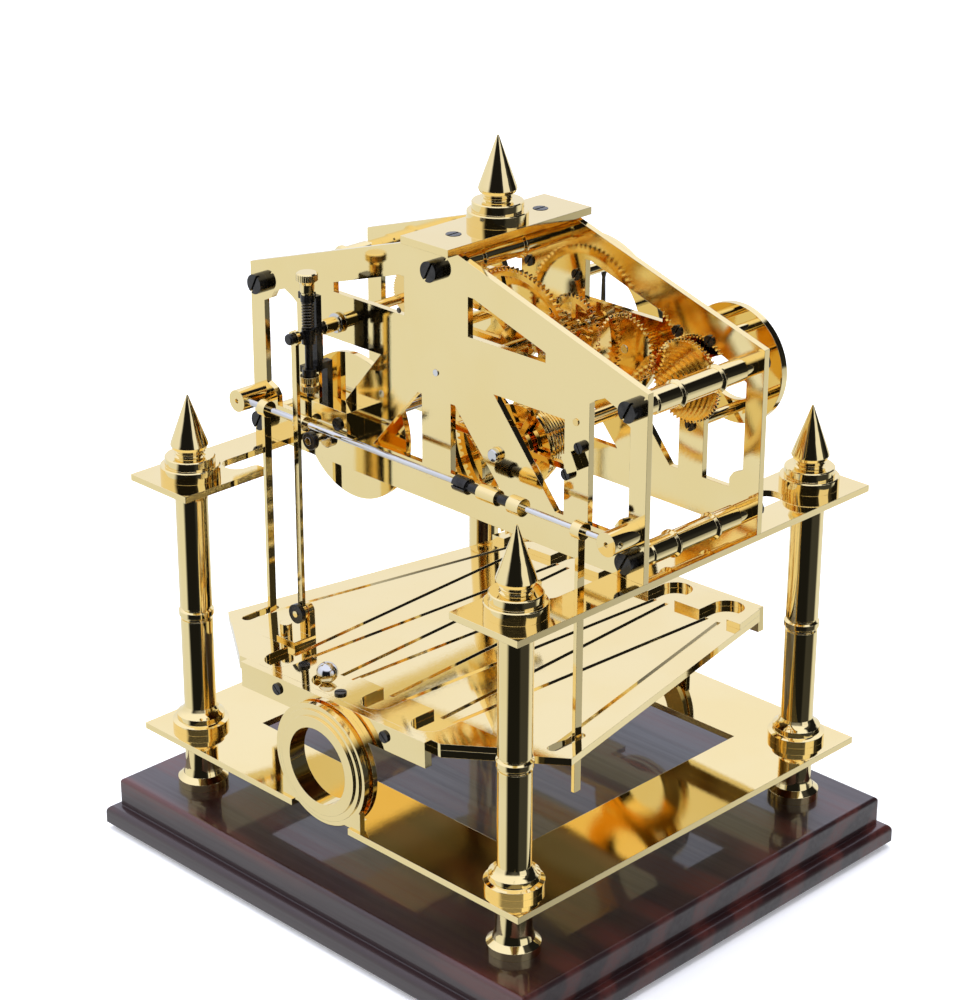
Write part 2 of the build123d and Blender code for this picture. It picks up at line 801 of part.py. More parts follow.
lever_thickness = 2.4
hub_width = 6.5
with BuildPart() as trip_levers:
    for side in (-1, 1):
        with BuildSketch(Plane.YZ.offset(side * lever_x - lever_thickness / 2)):
            with Locations((rod_y, (rod_z - 3 + lever_bottom_z) / 2)):
                Rectangle(5.2, rod_z - 3 - lever_bottom_z)
        extrude(amount=lever_thickness)
        with BuildSketch(Plane.YZ.offset(side * lever_x - hub_width / 2)):
            with Locations((rod_y, rod_z)):
                Circle(5)
        extrude(amount=hub_width)
    with BuildSketch(Plane.YZ.offset(-rod_half)):
        with Locations((rod_y, rod_z)):
            Circle(rod_r)
    extrude(amount=2 * rod_half, mode=Mode.SUBTRACT)
trip_levers.part.label = "trip_levers"
export_step(trip_levers.part, "parts/trip_levers.step")


def rod_collar(x, width, radius):
    """Collar on the trip rod, starting at x."""
    with BuildPart() as piece:
        with BuildSketch(Plane.YZ.offset(x)):
            with Locations((rod_y, rod_z)):
                Circle(radius)
                Circle(rod_r, mode=Mode.SUBTRACT)
        extrude(amount=width)
    return piece.part


collar_shapes = [rod_collar(-67, 14, 4.6), rod_collar(-86, 9, 5.2), rod_collar(91.6, 8, 4.6)]
with BuildPart() as rod_collars:
    add(collar_shapes)
rod_collars.part.label = "rod_collars"
export_step(rod_collars.part, "parts/rod_collars.step")

clamp_shapes = [rod_collar(-44, 10, 4.6), rod_collar(-53, 9, 3.0), rod_collar(-77, 10, 3.0)]
with BuildPart() as rod_clamps:
    add(clamp_shapes)
    with BuildSketch(upright(rod_y + 5)):
        with Locations((-39, rod_z)):
            Rectangle(11, 1.1)
    extrude(amount=2, mode=Mode.SUBTRACT)
rod_clamps.part.label = "rod_clamps"
export_step(rod_clamps.part, "parts/rod_clamps.step")

# ---- lifting gear -----------------------------------------------------------------------------
block_left = 60.5
block_right = 90.9
block_bottom = 266.0
block_top = 283.0
block_front_y = 64.5
cam_r = 5.1
cam_throw = 2.6
cam_sweep = cam_r + cam_throw + 0.4
bar_foot = crank[1] + cam_sweep
bar_width = 8.0
bar_depth = 4.0
foot_width = 5.0
with BuildPart() as guide_block:
    with BuildSketch(Plane.XY.offset(block_bottom)):
        with Locations(((block_left + block_right) / 2, (back_y + block_front_y) / 2)):
            Rectangle(block_right - block_left, block_front_y - back_y)
    extrude(amount=block_top - block_bottom)
    with BuildSketch(Plane.XY.offset(block_bottom)):
        with Locations((crank[0], lift_bar_y - bar_depth / 2)):
            Rectangle(2 * cam_sweep, 7)
    extrude(amount=cam_sweep - (block_bottom - crank[1]), mode=Mode.SUBTRACT)
    with BuildSketch(Plane.XY.offset(block_bottom)):
        with Locations((lift_bar_x, lift_bar_y - bar_depth / 2)):
            Rectangle(foot_width + 0.5, bar_depth + 0.5)
    extrude(amount=block_top - block_bottom, mode=Mode.SUBTRACT)
guide_block.part.label = "guide_block"
export_step(guide_block.part, "parts/guide_block.step")

clamp_angle = 62
clamp_middle = (-107.7, 298.5)
with BuildPart() as plate_clamp:
    with BuildSketch(axis_plane(clamp_middle, back_y + 5)):
        Rectangle(11, 8.5, rotation=clamp_angle)
    extrude(amount=5)
plate_clamp.part.label = "plate_clamp"
export_step(plate_clamp.part, "parts/plate_clamp.step")

clamp_reach = 10.2
clamp_spots = []
for way in (-1, 1):
    clamp_spots.append(
        (
            clamp_middle[0] + way * clamp_reach * cos(radians(clamp_angle + 55)),
            clamp_middle[1] + way * clamp_reach * sin(radians(clamp_angle + 55)),
        )
    )
fixing_shapes = [slotted_head((68.0, 274.5), block_front_y, 1, 3.9, 1.2, 35)]
fixing_shapes += [slotted_head(spot, back_y, 1, 3.2, 3, 60) for spot in clamp_spots]
with BuildPart() as fixing_screws:
    add(fixing_shapes)
    with BuildSketch(Plane.XY.offset(cap_top - 2)):
        with Locations(*[(0, y) for y in cap_screw_y]):
            Circle(4.4)
    extrude(amount=2.2)
    with BuildSketch(Plane.XY.offset(cap_top + 0.2)):
        with Locations(*[(0, y) for y in cap_screw_y]):
            Rectangle(1.2, 10)
    extrude(amount=-1, mode=Mode.SUBTRACT)
fixing_screws.part.label = "fixing_screws"
export_step(fixing_screws.part, "parts/fixing_screws.step")

bar_top = 352.0
arm_top_z = 351.0
arm_low_z = 306.0
arm_height = 4.0
upper_bar_y = 71.0
with BuildPart() as lift_bar:
    with BuildSketch(Plane.XY.offset(bar_foot)):
        with Locations((lift_bar_x, lift_bar_y - bar_depth / 2)):
            Rectangle(foot_width, bar_depth)
    extrude(amount=arm_low_z + arm_height - bar_foot)
    with BuildSketch(Plane.XY.offset(arm_low_z)):
        with Locations((lift_bar_x, upper_bar_y - bar_depth / 2)):
            Rectangle(bar_width, bar_depth)
        with Locations((lift_bar_x, (upper_bar_y + lift_bar_y) / 2 - bar_depth)):
            Rectangle(foot_width, upper_bar_y - lift_bar_y)
    extrude(amount=arm_height)
    with BuildSketch(Plane.XY.offset(arm_low_z)):
        with Locations((lift_bar_x, upper_bar_y - bar_depth / 2)):
            Rectangle(bar_width, bar_depth)
    extrude(amount=bar_top - arm_low_z)
    for level in (arm_low_z, arm_top_z):
        with BuildSketch(Plane.XY.offset(level)):
            with Locations((lift_bar_x - bar_width / 2, upper_bar_y)):
                Rectangle(bar_width, stem_y - upper_bar_y, align=(Align.MIN, Align.MIN))
            with Locations((stem_x, stem_y)):
                Circle(4.1)
        extrude(amount=arm_height)
        with BuildSketch(Plane.XY.offset(level)):
            with Locations((stem_x, stem_y)):
                Circle(stem_r)
        extrude(amount=arm_height, mode=Mode.SUBTRACT)
    with BuildSketch(upright(upper_bar_y - bar_depth)):
        with Locations((lift_bar_x, pin_z)):
            Circle(3.2)
    extrude(amount=upper_bar_y - bar_depth - back_y - 1.4)
lift_bar.part.label = "lift_bar"
export_step(lift_bar.part, "parts/lift_bar.step")

stem_bottom = 293.0
stem_steps = [
    (stem_r, stem_bottom),
    (stem_r, arm_low_z + arm_height),
    (2.3, arm_low_z + arm_height),
    (2.3, pin_z - 5),
    (stem_r, pin_z - 5),
    (stem_r, 364),
]
stem_shape = standing(stem_x, stem_y, stem_steps)
with BuildPart() as lift_stem:
    add(stem_shape)
lift_stem.part.label = "lift_stem"
export_step(lift_stem.part, "parts/lift_stem.step")

with BuildPart() as cross_pin:
    with BuildSketch(upright(link_y + 5)):
        with Locations((link_x, pin_z)):
            Circle(pin_r)
    extrude(amount=link_y + 5 - upper_bar_y)
    with BuildSketch(upright(link_y + 5.5)):
        with Locations((link_x, pin_z)):
            Circle(3.4)
    extrude(amount=3)
    with BuildSketch(Plane.XY.offset(pin_z - 5)):
        with Locations((stem_x, stem_y)):
            Circle(4)
    extrude(amount=9)
    with BuildSketch(Plane.XY.offset(pin_z - 5)):
        with Locations((stem_x, stem_y)):
            Circle(stem_r)
    extrude(amount=9, mode=Mode.SUBTRACT)
    fillet(cross_pin.faces().sort_by(Axis.Y)[-1].outer_wire().edges(), 1.2)
cross_pin.part.label = "cross_pin"
export_step(cross_pin.part, "parts/cross_pin.step")

coil_r = 3.1
wire_r = 0.6
spring_bottom = pin_z + 4
spring_height = arm_top_z - spring_bottom
coil_height = spring_height - 2 * wire_r - 0.2
with BuildPart() as buffer_spring:
    with BuildLine() as coil_line:
        Helix(coil_height / 8.5, coil_height, coil_r, center=(stem_x, stem_y, spring_bottom + wire_r + 0.1))
    with BuildSketch(Plane(origin=coil_line.line @ 0, z_dir=coil_line.line % 0)):
        Circle(wire_r)
    sweep()
buffer_spring.part.label = "buffer_spring"
export_step(buffer_spring.part, "parts/buffer_spring.step")

arm_top = arm_top_z + arm_height
knob_steps = [
    (3.6, arm_top + 0.2),
    (3.6, arm_top + 1.2),
    (4.2, arm_top + 1.8),
    (4.2, arm_top + 6.5),
    (5.2, arm_top + 8.2),
    (6.3, arm_top + 8.8),
    (6.3, arm_top + 12.6),
    (5.4, arm_top + 13.4),
]
knob_shape = standing(stem_x, stem_y, knob_steps)
with BuildPart() as adjust_knob:
    add(knob_shape)
    with BuildSketch(Plane.XY.offset(arm_top + 0.2)):
        with Locations((stem_x, stem_y)):
            Circle(stem_r + running_gap)
    extrude(amount=9.3, mode=Mode.SUBTRACT)
    with BuildSketch(Plane.XY.offset(arm_top + 8.5)):
        with Locations((stem_x, stem_y)):
            with PolarLocations(6.5, 28):
                Circle(0.38)
    extrude(amount=4.5, mode=Mode.SUBTRACT)
adjust_knob.part.label = "adjust_knob"
export_step(adjust_knob.part, "parts/adjust_knob.step")

nut_bottom = 296.6
nut_rim = 3.6
with BuildPart() as lock_nut:
    for level in (nut_bottom, arm_low_z - 0.3 - nut_rim):
        with BuildSketch(Plane.XY.offset(level)):
            with Locations((stem_x, stem_y)):
                Circle(5.6)
                with PolarLocations(5.8, 26):
                    Circle(0.38, mode=Mode.SUBTRACT)
        extrude(amount=nut_rim)
    with BuildSketch(Plane.XY.offset(nut_bottom)):
        with Locations((stem_x, stem_y)):
            Circle(4)
    extrude(amount=arm_low_z - nut_bottom - 0.3)
    with BuildSketch(Plane.XY.offset(nut_bottom)):
        with Locations((stem_x, stem_y)):
            Circle(stem_r + running_gap)
    extrude(amount=arm_low_z - nut_bottom, mode=Mode.SUBTRACT)
lock_nut.part.label = "lock_nut"
export_step(lock_nut.part, "parts/lock_nut.step")

rod_thickness = 2.5
with BuildPart() as connecting_rod:
    with BuildSketch(upright(link_y + rod_thickness / 2)):
        with Locations((link_x, (link_lower_z + pin_z) / 2)):
            Rectangle(4, pin_z - link_lower_z)
        with Locations((link_x, pin_z)):
            Circle(4.4)
            Circle(pin_r + running_gap, mode=Mode.SUBTRACT)
        with Locations((link_x, link_lower_z)):
            Circle(4.4)
            Circle(yoke_pin_r + 0.35, mode=Mode.SUBTRACT)
    extrude(amount=rod_thickness)
connecting_rod.part.label = "connecting_rod"
export_step(connecting_rod.part, "parts/connecting_rod.step")

pin_height = (link_x - tray_origin[0]) * tray_up[0] + (link_lower_z - tray_origin[2]) * tray_up[2]
yoke_x = (link_x - tray_origin[0]) * tray_x[0] + (link_lower_z - tray_origin[2]) * tray_x[2]
with BuildPart() as tray_yoke:
    with BuildSketch(tray_upright(yoke_x, 84.6, 0)):
        Rectangle(9.2, pin_height, align=(Align.CENTER, Align.MIN))
        with Locations((0, pin_height)):
            Circle(4.6)
    extrude(amount=4.2)
    with BuildSketch(tray_plane()):
        with Locations((yoke_x + 3.5, 88.9)):
            Rectangle(16.2, 17)
    extrude(amount=4.5)
    with BuildSketch(tray_plane(yoke_x + 7.7, 93, 4.5)):
        Circle(3.8)
    extrude(amount=8)
    with BuildSketch(tray_upright(yoke_x, link_y + 5.6, pin_height)):
        Circle(yoke_pin_r)
    extrude(amount=link_y + 5.6 - 84.6)
tray_yoke.part.label = "tray_yoke"
export_step(tray_yoke.part, "parts/tray_yoke.step")

# ---- arbors, wheels and hands ------------------------------------------------------------------
def arbor(middle, front_end, back_end, body_r, front_r, back_r):
    """Shouldered arbor running in both plates; the ends may reach beyond them."""
    steps = [
        (front_r, front_end),
        (front_r, front_y + 0.5),
        (body_r, front_y + 0.5),
        (body_r, back_inner_y - 0.5),
        (back_r, back_inner_y - 0.5),
        (back_r, back_end),
    ]
    return lying(middle, steps)


body_r = 3.0
dial_end = hand_y - 2.2
great_y = 37.0
great_turn = 0.0
centre_wheel_y = -12.5
third_wheel_y = -22.5
seconds_gear_y = -34.0
motion_y = -33.0
hour_y = -39.0
pinion_turn = meshed_turn(bearing_angle(great, centre), great_turn, 90, 10)
third_turn = meshed_turn(bearing_angle(centre, third), 0, 80, 10)
crank_turn = meshed_turn(bearing_angle(third, crank), 0, 75, 10)
idler_turn = meshed_turn(bearing_angle(crank, seconds_mid), 0, 60, 60)
seconds_turn = meshed_turn(bearing_angle(seconds_mid, seconds), idler_turn, 60, 60)
motion_turn = meshed_turn(bearing_angle(centre, motion_idle), 0, 20, 40)
middle_turn = meshed_turn(bearing_angle(motion_idle, motion_mid), motion_turn, 40, 40)
hour_idle_turn = meshed_turn(bearing_angle(motion_mid, hour_idle), 0, 10, 20)
hour_turn = meshed_turn(bearing_angle(hour_idle, hours), hour_idle_turn, 20, 60)

centre_shapes = [
    arbor(centre, dial_end, back_y + 0.6, body_r, pivot_r, pivot_r),
    gear(centre, great_y + 2, 7, 10, 1.2, pinion_turn, 0),
    gear(centre, motion_y, 2, 20, 1.0, 0, 0),
]
with BuildPart() as centre_arbor:
    add(centre_shapes)
centre_arbor.part.label = "centre_arbor"
export_step(centre_arbor.part, "parts/centre_arbor.step")

centre_wheel_shape = gear(centre, centre_wheel_y, 3, 80, 1.15, 0, body_r, 5)
with BuildPart() as centre_wheel:
    add(centre_wheel_shape)
centre_wheel.part.label = "centre_wheel"
export_step(centre_wheel.part, "parts/centre_wheel.step")

groove_count = 10
fusee_back = 30.0
fusee_front = -2.0
fusee_big = 24.0
fusee_small = 12.0
turn_pitch = (fusee_back - fusee_front) / groove_count
fusee_steps = [(pivot_r + 1, -64), (pivot_r + 1, front_y + 0.5), (4.3, front_y + 0.5), (4.3, fusee_front)]
for number in range(groove_count):
    start = fusee_front + number * turn_pitch
    here = fusee_small + (fusee_big - fusee_small) * (number + 0.5) / groove_count
    fusee_steps += [(here, start), (here, start + 0.35 * turn_pitch)]
    fusee_steps += [(here - 1.1, start + 0.5 * turn_pitch), (here - 1.1, start + 0.85 * turn_pitch)]
fusee_steps += [(fusee_big, fusee_back), (fusee_big, fusee_back + 2), (4.3, fusee_back + 2), (4.3, back_y + 1.3)]
fusee_shape = lying(great, fusee_steps)
with BuildPart() as fusee:
    add(fusee_shape)
    with BuildSketch(axis_plane(great, -56)):
        Circle(pivot_r + 2)
        Rectangle(4.2, 4.2, mode=Mode.SUBTRACT)
    extrude(amount=9, mode=Mode.SUBTRACT)
fusee.part.label = "fusee"
export_step(fusee.part, "parts/fusee.step")

great_wheel_shape = gear(great, great_y, 3, 90, 1.2, great_turn, 4.3, 6)
with BuildPart() as great_wheel:
    add(great_wheel_shape)
great_wheel.part.label = "great_wheel"
export_step(great_wheel.part, "parts/great_wheel.step")

barrel_steps = [
    (3.0, front_outer_y),
    (3.0, -2),
    (23.5, -2),
    (23.5, 0.5),
    (22, 0.5),
    (22, 28.5),
    (23.5, 28.5),
    (23.5, 31),
    (3.0, 31),
    (3.0, back_y),
]
barrel_shape = lying(barrel_axis, barrel_steps)
with BuildPart() as barrel:
    add(barrel_shape)
barrel.part.label = "barrel"
export_step(barrel.part, "parts/barrel.step")

third_shapes = [
    arbor(third, front_outer_y, back_y, body_r, pivot_r, pivot_r),
    gear(third, centre_wheel_y + 2, 7, 10, 1.15, third_turn, 0),
]
with BuildPart() as third_arbor:
    add(third_shapes)
third_arbor.part.label = "third_arbor"
export_step(third_arbor.part, "parts/third_arbor.step")

third_wheel_shape = gear(third, third_wheel_y, 3, 75, 1.15, 0, body_r, 5)
with BuildPart() as third_wheel:
    add(third_wheel_shape)
third_wheel.part.label = "third_wheel"
export_step(third_wheel.part, "parts/third_wheel.step")

cam_middle = (crank[0], crank[1] - cam_throw)
crank_shapes = [
    arbor(crank, front_outer_y, boss_end_y + 4.4, body_r, pivot_r, 2.4),
    gear(crank, third_wheel_y + 2, 7, 10, 1.15, crank_turn, 0),
    disc(cam_middle, lift_bar_y + 0.5, 5, cam_r),
]
with BuildPart() as crank_arbor:
    add(crank_shapes)
crank_arbor.part.label = "crank_arbor"
export_step(crank_arbor.part, "parts/crank_arbor.step")

crank_disc_shape = disc(crank, 40, 4, 45.4, body_r)
with BuildPart() as crank_disc:
    add(crank_disc_shape)
crank_disc.part.label = "crank_disc"
export_step(crank_disc.part, "parts/crank_disc.step")

arbor_nut_shape = disc(crank, boss_end_y + 4, 4, 5.5, 2.4)
with BuildPart() as arbor_nut:
    add(arbor_nut_shape)
    fillet(arbor_nut.edges().filter_by(GeomType.CIRCLE).filter_by(lambda edge: edge.radius > 5), 0.8)
arbor_nut.part.label = "arbor_nut"
export_step(arbor_nut.part, "parts/arbor_nut.step")

seconds_drive_shape = gear(crank, seconds_gear_y, 2, 60, 0.55, 0, body_r, 4)
with BuildPart() as seconds_drive:
    add(seconds_drive_shape)
seconds_drive.part.label = "seconds_drive"
export_step(seconds_drive.part, "parts/seconds_drive.step")

stud_r = 2.4
seconds_idler_shape = gear(seconds_mid, seconds_gear_y, 2, 60, 0.55, idler_turn, stud_r + running_gap, 4)
with BuildPart() as seconds_idler:
    add(seconds_idler_shape)
seconds_idler.part.label = "seconds_idler"
export_step(seconds_idler.part, "parts/seconds_idler.step")

seconds_shapes = [
    arbor(seconds, dial_end, back_y + 0.6, body_r, pivot_r, pivot_r),
    gear(seconds, seconds_gear_y, 2, 60, 0.55, seconds_turn, 0),
]
with BuildPart() as seconds_wheel:
    add(seconds_shapes)
seconds_wheel.part.label = "seconds_wheel"
export_step(seconds_wheel.part, "parts/seconds_wheel.step")

motion_idler_shape = gear(motion_idle, motion_y, 2, 40, 1.0, motion_turn, stud_r + running_gap, 4)
with BuildPart() as motion_idler:
    add(motion_idler_shape)
motion_idler.part.label = "motion_idler"
export_step(motion_idler.part, "parts/motion_idler.step")

motion_shapes = [
    gear(motion_mid, motion_y, 2, 40, 1.0, middle_turn, stud_r + running_gap),
    gear(motion_mid, motion_y - 2, 6, 10, 0.8, 0, stud_r + running_gap),
]
with BuildPart() as motion_wheel:
    add(motion_shapes)
motion_wheel.part.label = "motion_wheel"
export_step(motion_wheel.part, "parts/motion_wheel.step")

hour_idler_shape = gear(hour_idle, hour_y, 2, 20, 0.8, hour_idle_turn, stud_r + running_gap)
with BuildPart() as hour_idler:
    add(hour_idler_shape)
hour_idler.part.label = "hour_idler"
export_step(hour_idler.part, "parts/hour_idler.step")

hour_shapes = [
    arbor(hours, dial_end, back_y + 0.6, body_r, pivot_r, pivot_r),
    gear(hours, hour_y, 2, 60, 0.8, hour_turn, 0),
]
with BuildPart() as hour_wheel:
    add(hour_shapes)
hour_wheel.part.label = "hour_wheel"
export_step(hour_wheel.part, "parts/hour_wheel.step")

stud_ends = [(seconds_mid, -35.6), (motion_idle, -34.6), (motion_mid, -32.6), (hour_idle, -38.6)]
stud_shapes = []
for place, inner_end in stud_ends:
    stud_shapes.append(disc(place, inner_end, inner_end - front_outer_y, stud_r))
with BuildPart() as gear_studs:
    add(stud_shapes)
    with BuildSketch(upright(front_y)):
        with Locations(*[place for place, inner_end in stud_ends]):
            Circle(2.5)
    extrude(amount=plate_thickness)
gear_studs.part.label = "gear_studs"
export_step(gear_studs.part, "parts/gear_studs.step")


def hand(middle, heading, reach, root, tip, fork=False):
    """Flat hand with a hub; its blade points along the given heading, clockwise from twelve."""
    flat = Plane(
        origin=(middle[0], hand_y, middle[1]),
        x_dir=(cos(radians(heading)), 0, -sin(radians(heading))),
        z_dir=(0, -1, 0),
    )
    with BuildPart() as piece:
        with BuildSketch(flat):
            with BuildLine():
                Polyline(
                    (-root, 0),
                    (root, 0),
                    (tip, reach),
                    (-tip, reach),
                    close=True,
                )
            make_face()
            Circle(4)
            if fork:
                with BuildLine():
                    Polyline((-tip, reach - 3), (tip, reach - 3), (3.2, reach + 5), (-3.2, reach + 5), close=True)
                make_face()
                with BuildLine():
                    Polyline((0, reach - 1), (2.2, reach + 5.1), (-2.2, reach + 5.1), close=True)
                make_face(mode=Mode.SUBTRACT)
            Circle(pivot_r, mode=Mode.SUBTRACT)
        extrude(amount=1.2)
    return piece.part


minute_shape = hand(centre, 0, 27, 1.6, 0.9, fork=True)
with BuildPart() as minute_hand:
    add(minute_shape)
minute_hand.part.label = "minute_hand"
export_step(minute_hand.part, "parts/minute_hand.step")

hour_shape = hand(hours, 300, 20, 1.8, 0.6)
with BuildPart() as hour_hand:
    add(hour_shape)
hour_hand.part.label = "hour_hand"
export_step(hour_hand.part, "parts/hour_hand.step")

second_shape = hand(seconds, 120, 21, 1.2, 0.4)
with BuildPart() as seconds_hand:
    add(second_shape)
seconds_hand.part.label = "seconds_hand"
export_step(seconds_hand.part, "parts/seconds_hand.step")
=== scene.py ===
"""Looks of the rolling ball skeleton clock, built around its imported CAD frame."""

import json
import math

import bmesh
import bpy
from mathutils import Matrix, Vector


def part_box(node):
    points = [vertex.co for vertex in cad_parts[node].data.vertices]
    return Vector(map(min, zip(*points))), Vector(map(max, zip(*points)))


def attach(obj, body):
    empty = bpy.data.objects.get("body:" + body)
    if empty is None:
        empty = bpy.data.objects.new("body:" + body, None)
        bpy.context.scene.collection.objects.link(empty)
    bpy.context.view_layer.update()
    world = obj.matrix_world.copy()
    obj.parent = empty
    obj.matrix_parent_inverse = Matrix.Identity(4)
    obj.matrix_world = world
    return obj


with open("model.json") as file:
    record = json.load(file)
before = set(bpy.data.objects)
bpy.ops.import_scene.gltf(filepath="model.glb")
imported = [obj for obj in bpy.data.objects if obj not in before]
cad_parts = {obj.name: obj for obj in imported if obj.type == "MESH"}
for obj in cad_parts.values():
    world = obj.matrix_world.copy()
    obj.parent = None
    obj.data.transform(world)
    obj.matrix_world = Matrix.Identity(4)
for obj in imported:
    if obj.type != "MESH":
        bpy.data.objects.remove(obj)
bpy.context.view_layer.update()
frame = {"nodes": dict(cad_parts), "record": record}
nodes = frame["nodes"]


# ---- node helpers -------------------------------------------------------------------
def node(tree, kind, inputs=None, **settings):
    """A shader node with its settings made and its sockets linked or filled."""
    made = tree.nodes.new("ShaderNode" + kind)
    for key, value in settings.items():
        setattr(made, key, value)
    for socket, value in (inputs or {}).items():
        if isinstance(value, bpy.types.NodeSocket):
            tree.links.new(value, made.inputs[socket])
        else:
            made.inputs[socket].default_value = value
    return made


def math_node(tree, operation, *values, clamp=False):
    """The result of one arithmetic step."""
    made = node(tree, "Math", dict(enumerate(values)), operation=operation, use_clamp=clamp)
    return made.outputs[0]


def spread(tree, value, low, high, out_low, out_high):
    """Value taken from one range to another, smoothly and clamped."""
    made = node(
        tree,
        "MapRange",
        {"Value": value, "From Min": low, "From Max": high, "To Min": out_low, "To Max": out_high},
        interpolation_type="SMOOTHSTEP",
    )
    return made.outputs["Result"]


def blend_colours(tree, factor, first, second):
    """Two colours mixed by a factor."""
    made = node(tree, "Mix", {"Factor": factor}, data_type="RGBA")
    for index, colour in ((6, first), (7, second)):
        if isinstance(colour, bpy.types.NodeSocket):
            tree.links.new(colour, made.inputs[index])
        else:
            made.inputs[index].default_value = (*colour, 1.0)
    return made.outputs[2]


def stretched(tree, scale):
    """Object coordinates, in metres, stretched by a scale on each axis."""
    place = node(tree, "TexCoord").outputs["Object"]
    return node(tree, "Mapping", {"Vector": place, "Scale": scale}).outputs["Vector"]


def noise(tree, scale, size, detail=2.0, rough=0.5):
    """Noise whose cells are stretched on each axis."""
    return node(
        tree,
        "TexNoise",
        {"Vector": stretched(tree, scale), "Scale": size, "Detail": detail, "Roughness": rough},
    ).outputs["Fac"]


def bump(tree, height, strength, distance, normal):
    """A surface normal raised by a height."""
    return node(
        tree,
        "Bump",
        {"Strength": strength, "Distance": distance, "Height": height, "Normal": normal},
    ).outputs["Normal"]


def edges_for_wear_and_highlight(tree, radius, sharp, flat):
    """A normal with broken edges, and a value that is one on edges and nothing on faces: it masks real
    wear on the black steel and a painted highlight on the polished metals.
    """
    rounded = node(tree, "Bevel", {"Radius": radius}, samples=4).outputs["Normal"]
    face = node(tree, "NewGeometry").outputs["Normal"]
    aligned = node(tree, "VectorMath", {0: rounded, 1: face}, operation="DOT_PRODUCT")
    return rounded, spread(tree, aligned.outputs["Value"], sharp, flat, 1.0, 0.0)


def new_material(name):
    """An empty node material with its shader and output in place."""
    made = bpy.data.materials.new(name)
    made.use_nodes = True
    tree = made.node_tree
    tree.nodes.clear()
    shader = node(tree, "BsdfPrincipled")
    output = node(tree, "OutputMaterial")
    tree.links.new(shader.outputs["BSDF"], output.inputs["Surface"])
    return made, tree, shader


# ---- metals -------------------------------------------------------------------------
def polished_metal(name, tone, deep_tone, dull, grain, grain_depth, edge=0.0003, waves=0.05):
    """Buffed metal: a tone that drifts, finger haze, fine grain, softly broken edges and a painted
    highlight along them.
    """
    made, tree, shader = new_material(name)
    drift = noise(tree, (1, 1, 1), 14.0, 3.0)
    colour = blend_colours(tree, spread(tree, drift, 0.35, 0.7, 0.0, 1.0), tone, deep_tone)
    haze = noise(tree, (1, 1, 1), 46.0, 5.0, 0.62)
    rough = spread(tree, haze, 0.35, 0.75, dull * 0.55, dull * 1.7)
    rounded, wear_and_highlight = edges_for_wear_and_highlight(tree, edge, 0.80, 0.985)
    # Painted highlight: edges are mixed halfway towards white. This stands in for the bright lines that
    # light draws along them.
    pale = tuple(0.5 * channel + 0.5 for channel in tone)
    colour = blend_colours(tree, math_node(tree, "MULTIPLY", wear_and_highlight, 0.35), colour, pale)
    rough = math_node(tree, "ADD", rough, math_node(tree, "MULTIPLY", wear_and_highlight, 0.05))
    swell = bump(tree, noise(tree, (1, 1, 1), 22.0, 1.0), waves, 0.0016, rounded)
    lines = bump(tree, noise(tree, grain, 1.0, 3.0, 0.7), grain_depth, 0.00012, swell)
    tree.links.new(colour, shader.inputs["Base Color"])
    tree.links.new(rough, shader.inputs["Roughness"])
    tree.links.new(lines, shader.inputs["Normal"])
    shader.inputs["Metallic"].default_value = 1.0
    return made


pale_gold = (0.925, 0.755, 0.385)
warm_gold = (0.915, 0.730, 0.345)
deep_gold = (0.900, 0.660, 0.260)
amber_gold = (0.880, 0.600, 0.200)
steel_tone = (0.740, 0.735, 0.720)
steel_shade = (0.600, 0.595, 0.585)

flat_brass = polished_metal(
    "polished_brass_plate", pale_gold, warm_gold, 0.030, (2600, 90, 2600), 0.05
)
turned_brass = polished_metal(
    "polished_brass_turned", pale_gold, warm_gold, 0.028, (60, 60, 5200), 0.07, waves=0.02
)
lathe_brass = polished_metal(
    "polished_brass_lathe_y", pale_gold, warm_gold, 0.034, (60, 5200, 60), 0.07, waves=0.02
)
# Painted shade: the wheels get a deeper amber copy of the plate brass. It stands in for the darker
# reflections they pick up between the plates.
wheel_brass_painted_shade = polished_metal(
    "polished_brass_wheel", deep_gold, amber_gold, 0.040, (900, 900, 900), 0.04, waves=0.01
)
bright_steel = polished_metal(
    "bright_steel", steel_tone, steel_shade, 0.035, (900, 900, 900), 0.04, waves=0.01
)
dark_spring = polished_metal(
    "dark_spring_steel", (0.16, 0.14, 0.11), (0.09, 0.08, 0.065), 0.20, (900, 900, 4000), 0.12
)


def blued_steel():
    """Black oxide over steel: near black, oily sheen, bare metal showing on rubbed corners."""
    made, tree, shader = new_material("black_steel")
    mottled = noise(tree, (1, 1, 1), 160.0, 4.0, 0.6)
    colour = blend_colours(
        tree, spread(tree, mottled, 0.3, 0.75, 0.0, 1.0), (0.012, 0.011, 0.010), (0.040, 0.037, 0.034)
    )
    rounded, wear_and_highlight = edges_for_wear_and_highlight(tree, 0.00025, 0.80, 0.97)
    colour = blend_colours(
        tree, math_node(tree, "MULTIPLY", wear_and_highlight, 0.25), colour, (0.22, 0.20, 0.18)
    )
    rough = spread(tree, noise(tree, (1, 1, 1), 90.0, 4.0), 0.3, 0.7, 0.20, 0.38)
    grain = bump(tree, noise(tree, (1, 1, 1), 2600.0, 3.0), 0.18, 0.00008, rounded)
    tree.links.new(colour, shader.inputs["Base Color"])
    tree.links.new(rough, shader.inputs["Roughness"])
    tree.links.new(grain, shader.inputs["Normal"])
    shader.inputs["Metallic"].default_value = 0.75
    shader.inputs["Coat Weight"].default_value = 0.35
    shader.inputs["Coat Roughness"].default_value = 0.12
    return made


black_steel = blued_steel()


